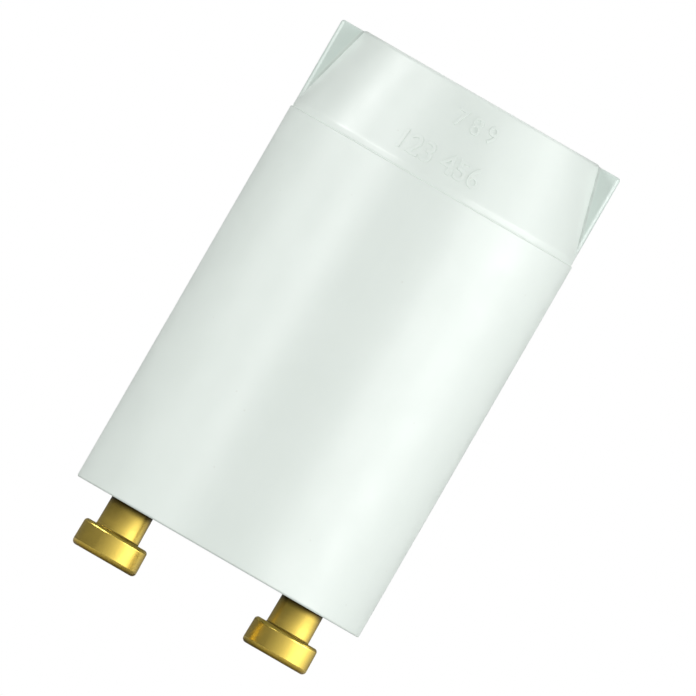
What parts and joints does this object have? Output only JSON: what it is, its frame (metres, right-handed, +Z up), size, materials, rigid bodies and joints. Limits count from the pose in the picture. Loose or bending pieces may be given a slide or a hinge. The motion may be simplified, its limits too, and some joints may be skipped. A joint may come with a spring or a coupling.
{
  "type": "fluorescent starter",
  "caption": "Cylindrical plastic starter for a fluorescent lamp, with a tapered top, flat grip fins and mushroom-headed brass contact pins that twist into a socket.",
  "frame": {"origin": "midway between the two pin tips, on the plane that they stand on", "axes": "+Z up the axis of the can from the pins to the top, +X through both pins and both grip fins, +Y to the back"},
  "size_m": [0.021, 0.021, 0.0382],
  "materials": {
    "can_plastic": "moulded, soft gloss",
    "plate_plastic": "moulded, satin",
    "pin_brass": "turned and polished",
    "bulb_glass": "clear",
    "lead_wire": "tinned",
    "electrode_metal": "rolled strip",
    "capacitor_dip": "dipped resin"
  },
  "bodies": {
    "root": {"can": "can_plastic", "base_plate": "plate_plastic", "contact_pin_left": "pin_brass", "contact_pin_right": "pin_brass", "bulb_glass": "bulb_glass", "bulb_stem": "bulb_glass", "bulb_lead_left": "lead_wire", "bulb_lead_right": "lead_wire", "bimetal_strip": "electrode_metal", "fixed_electrode": "electrode_metal", "capacitor_body": "capacitor_dip", "capacitor_lead_left": "lead_wire", "capacitor_lead_right": "lead_wire"}
  },
  "joints": []
}
